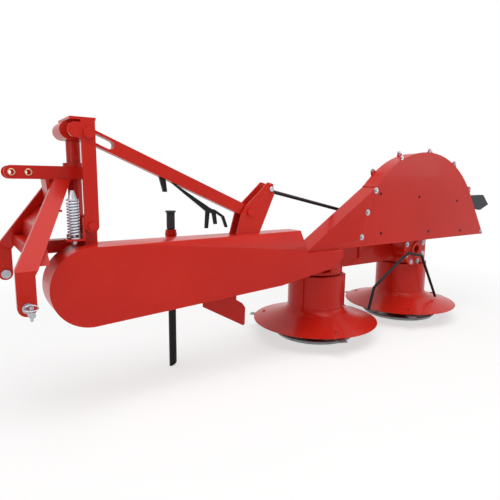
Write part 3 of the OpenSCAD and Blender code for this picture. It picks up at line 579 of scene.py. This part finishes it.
lift_pin, strut_foot = Vector((20, 1130)), Vector((778, 804))
strut_line = (strut_foot - lift_pin).normalized()
strut_up = Vector((-strut_line.y, strut_line.x))
slot_r, slot_run, corner_y, corner_deep, seat = 17.0, 96.0, -149.7, 0.0394, 0.4
first_turn, turn_span, turn_count = 6, 78, 10


def in_slot(along, across):
    """A point of the strut's near side: mm along the slot from the lift pin, and mm above its middle line."""
    x, z = lift_pin + strut_line * along + strut_up * across
    return at(x, corner_y, z)


slot_corners = []
for middle, end in ((0.0, -1), (slot_run, 1)):
    for side in (-1, 1):
        angles = [math.radians(first_turn + turn_span * k / turn_count) for k in range(turn_count + 1)]
        curve = [(middle + end * slot_r * math.cos(a), side * slot_r * math.sin(a)) for a in angles]
        edge, corner = middle + end * (slot_r + seat), side * (slot_r + seat)
        outline = curve + [(curve[-1][0], corner), (edge, corner), (edge, curve[0][1])]
        slot_corners.append([in_slot(*p) for p in outline])
plate("slot_corners", slot_corners, Vector((0, corner_deep, 0)), body_of["lift_strut"])
tie_pin = [(0, 0), (7.6, 0), (7.6, 92), (13, 92), (13, 98), (11.5, 99.5), (0, 99.5)]
fixed_to(lathe("tie_pin", tie_pin, at(906, -74, 916), zinc, toward_viewer, segments=40), arm)
rod_start, rod_end = at(906, -82, 916), at(1736, -22, 744)
rod_line = (rod_end - rod_start).normalized()
rod_facing = rod_line.to_track_quat("Z", "Y").to_matrix().to_4x4()
nut = [(0, 0), (15.5, 0), (17, 1.5), (17, 12.5), (15.5, 14), (0, 14)]
for label, reach in (("upper", 0.048), ("lower", (rod_end - rod_start).length - 0.056)):
    place = rod_start + reach * rod_line
    fixed_to(lathe("locknut_" + label, nut, place, zinc, rod_facing, segments=6, smooth=20.0), arm)

# Parking stand: a black tube that slides in the red sleeve and holds the arm up when unhitched.
# A ribbed rubber grip with a rolled top edge is pushed over its upper end.
dressed("stand_leg", 1.0)
grip_low, grip_high = (Vector(c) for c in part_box("stand_grip"))
grip_tall = (grip_high.z - grip_low.z) * 1000
grip_r, groove_r, roll_r, rib_count, rib_pitch = 21, 19.7, 26, 11, 6.4
grip = [(0, 0), (19.6, 0), (grip_r, 1.5)]
for foot in (rib_pitch * k for k in range(rib_count)):
    grip += [(grip_r, 4 + foot), (groove_r, 5.6 + foot), (groove_r, 7.4 + foot), (grip_r, 9 + foot)]
grip += [(grip_r, grip_tall - 8), (roll_r, grip_tall - 7), (roll_r, grip_tall - 2), (24, grip_tall),
         (9, grip_tall), (7, grip_tall - 2), (0, grip_tall - 2)]
grip_foot = Vector(((grip_low.x + grip_high.x) / 2, (grip_low.y + grip_high.y) / 2, grip_low.z))
stands_for(lathe("ribbed_grip", grip, grip_foot, rubber, segments=48), "stand_grip")

# Gear housings: the two heads that the drums hang from, joined by a box beam with the cross shaft.
# A flanged cover with plated bolts closes the outer head's bearing on the side to the viewer.
for node, edge in {"inner_housing": 4.0, "outer_housing": 4.0, "drum_beam": 4.0}.items():
    dressed(node, edge)
cover_low, cover_high = (Vector(c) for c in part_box("bearing_cover"))
cover_seat = Vector(((cover_low.x + cover_high.x) / 2, cover_high.y, (cover_low.z + cover_high.z) / 2))
cover = [(26, 0), (112.5, 0), (112.5, 10), (110.5, 12), (56, 12), (51, 13.5), (48, 17), (48, 24.5), (46.5, 26),
         (28, 26), (26, 24)]
stands_for(lathe("flanged_cover", cover, cover_seat, enamel, toward_viewer), "bearing_cover")
cover_circle, flange_t = 0.093, 0.012
cover_bolts = [cover_seat + Vector((cover_circle * math.cos(a), -flange_t, cover_circle * math.sin(a)))
               for a in (math.radians(22.5 + 45 * k) for k in range(8))]
bolted("cover_bolts", arm, cover_bolts, across=17, height=8, tilt=rear, seed=5)
drum_places = [((low[0] + high[0]) / 2, (low[1] + high[1]) / 2)
               for low, high in map(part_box, ("skid_inner", "skid_outer"))]
lid_circle, lid_z = 0.14, 0.560
lid_bolts = [Vector((x + lid_circle * math.cos(a), y + lid_circle * math.sin(a), lid_z))
             for x, y in drum_places for a in (math.radians(50 * k - 15) for k in range(5))]
bolted("lid_bolts", arm, lid_bolts, across=17, height=8, tilt=up, seed=7)

# Hood: a half-round shield over the outer drum, a flat plate with a rim behind it and a sloping wing.
# Bolt ears stand round its edge, and the seam to the wing is bolted.
for node, edge in {"hood_panel": 0.8, "hood_rim": 0.8, "hood_wing": 0.8, "hood_posts": 2.0,
                   "end_flap": 3.0}.items():
    dressed(node, edge)
hood_x, hood_mid_z, ear_r, plate_y, far_y = 2155, 497, 668, -200, -93


def on_ear(angle, y):
    """The middle of a bolt ear, by its angle round the hood."""
    a = math.radians(angle)
    return at(hood_x + ear_r * math.cos(a), y, hood_mid_z + ear_r * math.sin(a))


ear_bolts = [on_ear(a, plate_y) for a in (39, 63, 89, 114)] + [on_ear(a, far_y) for a in (78, 104, 128)]
bolted("ear_bolts", arm, ear_bolts, across=14, height=7, tilt=rear, seed=11)
sheet_t = 3
seam_bolts = [at(x, plate_y - sheet_t, z) for x, z in ((1552, 635), (1593, 779), (1657, 908))]
seam_bolts.append(at(2874, plate_y, 594))
bolted("seam_bolts", arm, seam_bolts, across=18, height=10, tilt=rear, seed=17)
# Black screw heads fill the panel holes; their black is painted shade, standing for the dark inside the hood
# that the holes would show.
hole_shade_screws = [at(x, plate_y, z) for x, z in
                ((1706, 888), (2086, 866), (2523, 833), (1727, 648), (2211, 633), (2593, 619))]
bolted("hole_shade_screws", arm, hole_shade_screws, across=9, height=5, tilt=rear, seed=19, look=black)
lap_y, lap_deep, gusset_t = plate_y - 3.6, 0.110, 0.0033
lap_strip = ((1658, 928), (1680, 942.6), (1702, 965), (1700, 967.6), (1678, 945.2), (1656.4, 930.4))
lap_gusset = ((1660, 928), (1680, 942.6), (1702, 965), (1716, 950), (1684, 908))
plate("wing_lap", [[at(x, lap_y, z) for x, z in lap_strip]], Vector((0, lap_deep, 0)), arm)
plate("wing_gusset", [[at(x, lap_y, z) for x, z in lap_gusset]], Vector((0, gusset_t, 0)), arm)
hem_z, hem_r = 582, 0.004
hem = [at(x, plate_y, hem_z) for x in range(1540, 2900, 20)]
fixed_to(swept("hood_hem", hem, hem_r, enamel, sides=10), arm)

# Guard bar: one round steel rod, bent cold and painted black.
# It stands clear of the outer drum, over its dish, on the side to the viewer.


def bent(points, radius, steps=8):
    """The line through the points with each inner corner rounded to the bending radius."""
    path = [points[0]]
    for before, corner, after in zip(points, points[1:], points[2:]):
        into, out = (corner - before).normalized(), (after - corner).normalized()
        half = into.angle(out) / 2
        start = corner - into * radius * math.tan(half)
        inward = (out - into).normalized()
        centre = corner + inward * radius / math.cos(half)
        spoke, axis = start - centre, into.cross(out).normalized()
        path += [centre + Matrix.Rotation(2 * half * k / steps, 3, axis) @ spoke for k in range(steps + 1)]
    return path + [points[-1]]


bar_y, outer_drum_x, rod_r, bend_r = -200, 2246, 0.009, 0.026
bar_route = [at(outer_drum_x + x, bar_y, z) for x, z in
             ((-596, 176), (-557, 311), (-307, 465), (-230, 500), (-89, 471), (-55, 414), (101, 162))]
stands_for(swept("guard_rod", bent(bar_route, bend_r), rod_r, black, sides=18), "guard_bar")

# Drums: spun steel cylinders that flare into wide dishes, with three ribs that throw the crop.
# The knives hang on pins under the dish, and a free skid plate turns on the ground below.
flare = [(385, 104), (295, 128), (212, 158), (184, 176), (172, 192)]


def eased(points, steps=5):
    """A smooth line through the points, Catmull-Rom."""
    padded = [points[0]] + points + [points[-1]]
    line = []
    for a, b, c, d in zip(padded, padded[1:], padded[2:], padded[3:]):
        for k in range(steps):
            t = k / steps
            line.append(tuple(0.5 * (2 * q + (r - p) * t + (2 * p - 5 * q + 4 * r - s) * t * t
                                     + (3 * q - p - 3 * r + s) * t ** 3) for p, q, r, s in zip(a, b, c, d)))
    return line + [points[-1]]


drum_profile = [(57.3, 340), (57.3, 390), (166, 390), (166, 172), (245, 134), (383, 100)] + eased(flare) + [
    (172, 199), (174, 201), (174, 204), (172, 206), (172, 397), (169, 400), (45.3, 400), (45.3, 340)]
shell_smooth, knife_circle, dish_top_z = 28.0, 0.33, 0.1165
rib_turn, rib_edge, rib_middle, rib_size = -38, 0.0025, (0.1765, 0, 0.292), (0.011, 0.010, 0.208, 1)
for label, (x, y), knife_turn in (("inner", drum_places[0], 10), ("outer", drum_places[1], -10)):
    node = "drum_" + label
    shell = lathe(node + "_shell", drum_profile, Vector((x, y, 0)), enamel, segments=144, smooth=shell_smooth)
    bm = bmesh.new()
    bm.from_mesh(shell.data)
    for k in range(3):
        turn = Matrix.Rotation(math.radians(120 * k + rib_turn), 4, "Z")
        place = Matrix.Translation((x, y, 0)) @ turn @ Matrix.Translation(rib_middle)
        made = bmesh.ops.create_cube(bm, size=1.0, matrix=place @ Matrix.Diagonal(rib_size))
        edges = {e for v in made["verts"] for e in v.link_edges}
        bmesh.ops.bevel(bm, geom=list(edges), offset=rib_edge, segments=2, affect="EDGES", profile=0.5)
    bm.to_mesh(shell.data)
    bm.free()
    shell.data.polygons.foreach_set("use_smooth", [True] * len(shell.data.polygons))
    shell.data.set_sharp_from_angle(angle=math.radians(shell_smooth))
    stands_for(shell, node)
    heads = [Vector((x + knife_circle * math.cos(a), y + knife_circle * math.sin(a), dish_top_z))
             for a in (math.radians(knife_turn + 120 * k) for k in range(3))]
    bolted("knife_bolts_" + label, body_of[node], heads, across=14, height=7, tilt=up, seed=13, look=enamel)
    dressed("knives_" + label, 1.0)
    dressed("skid_" + label, 1.5)
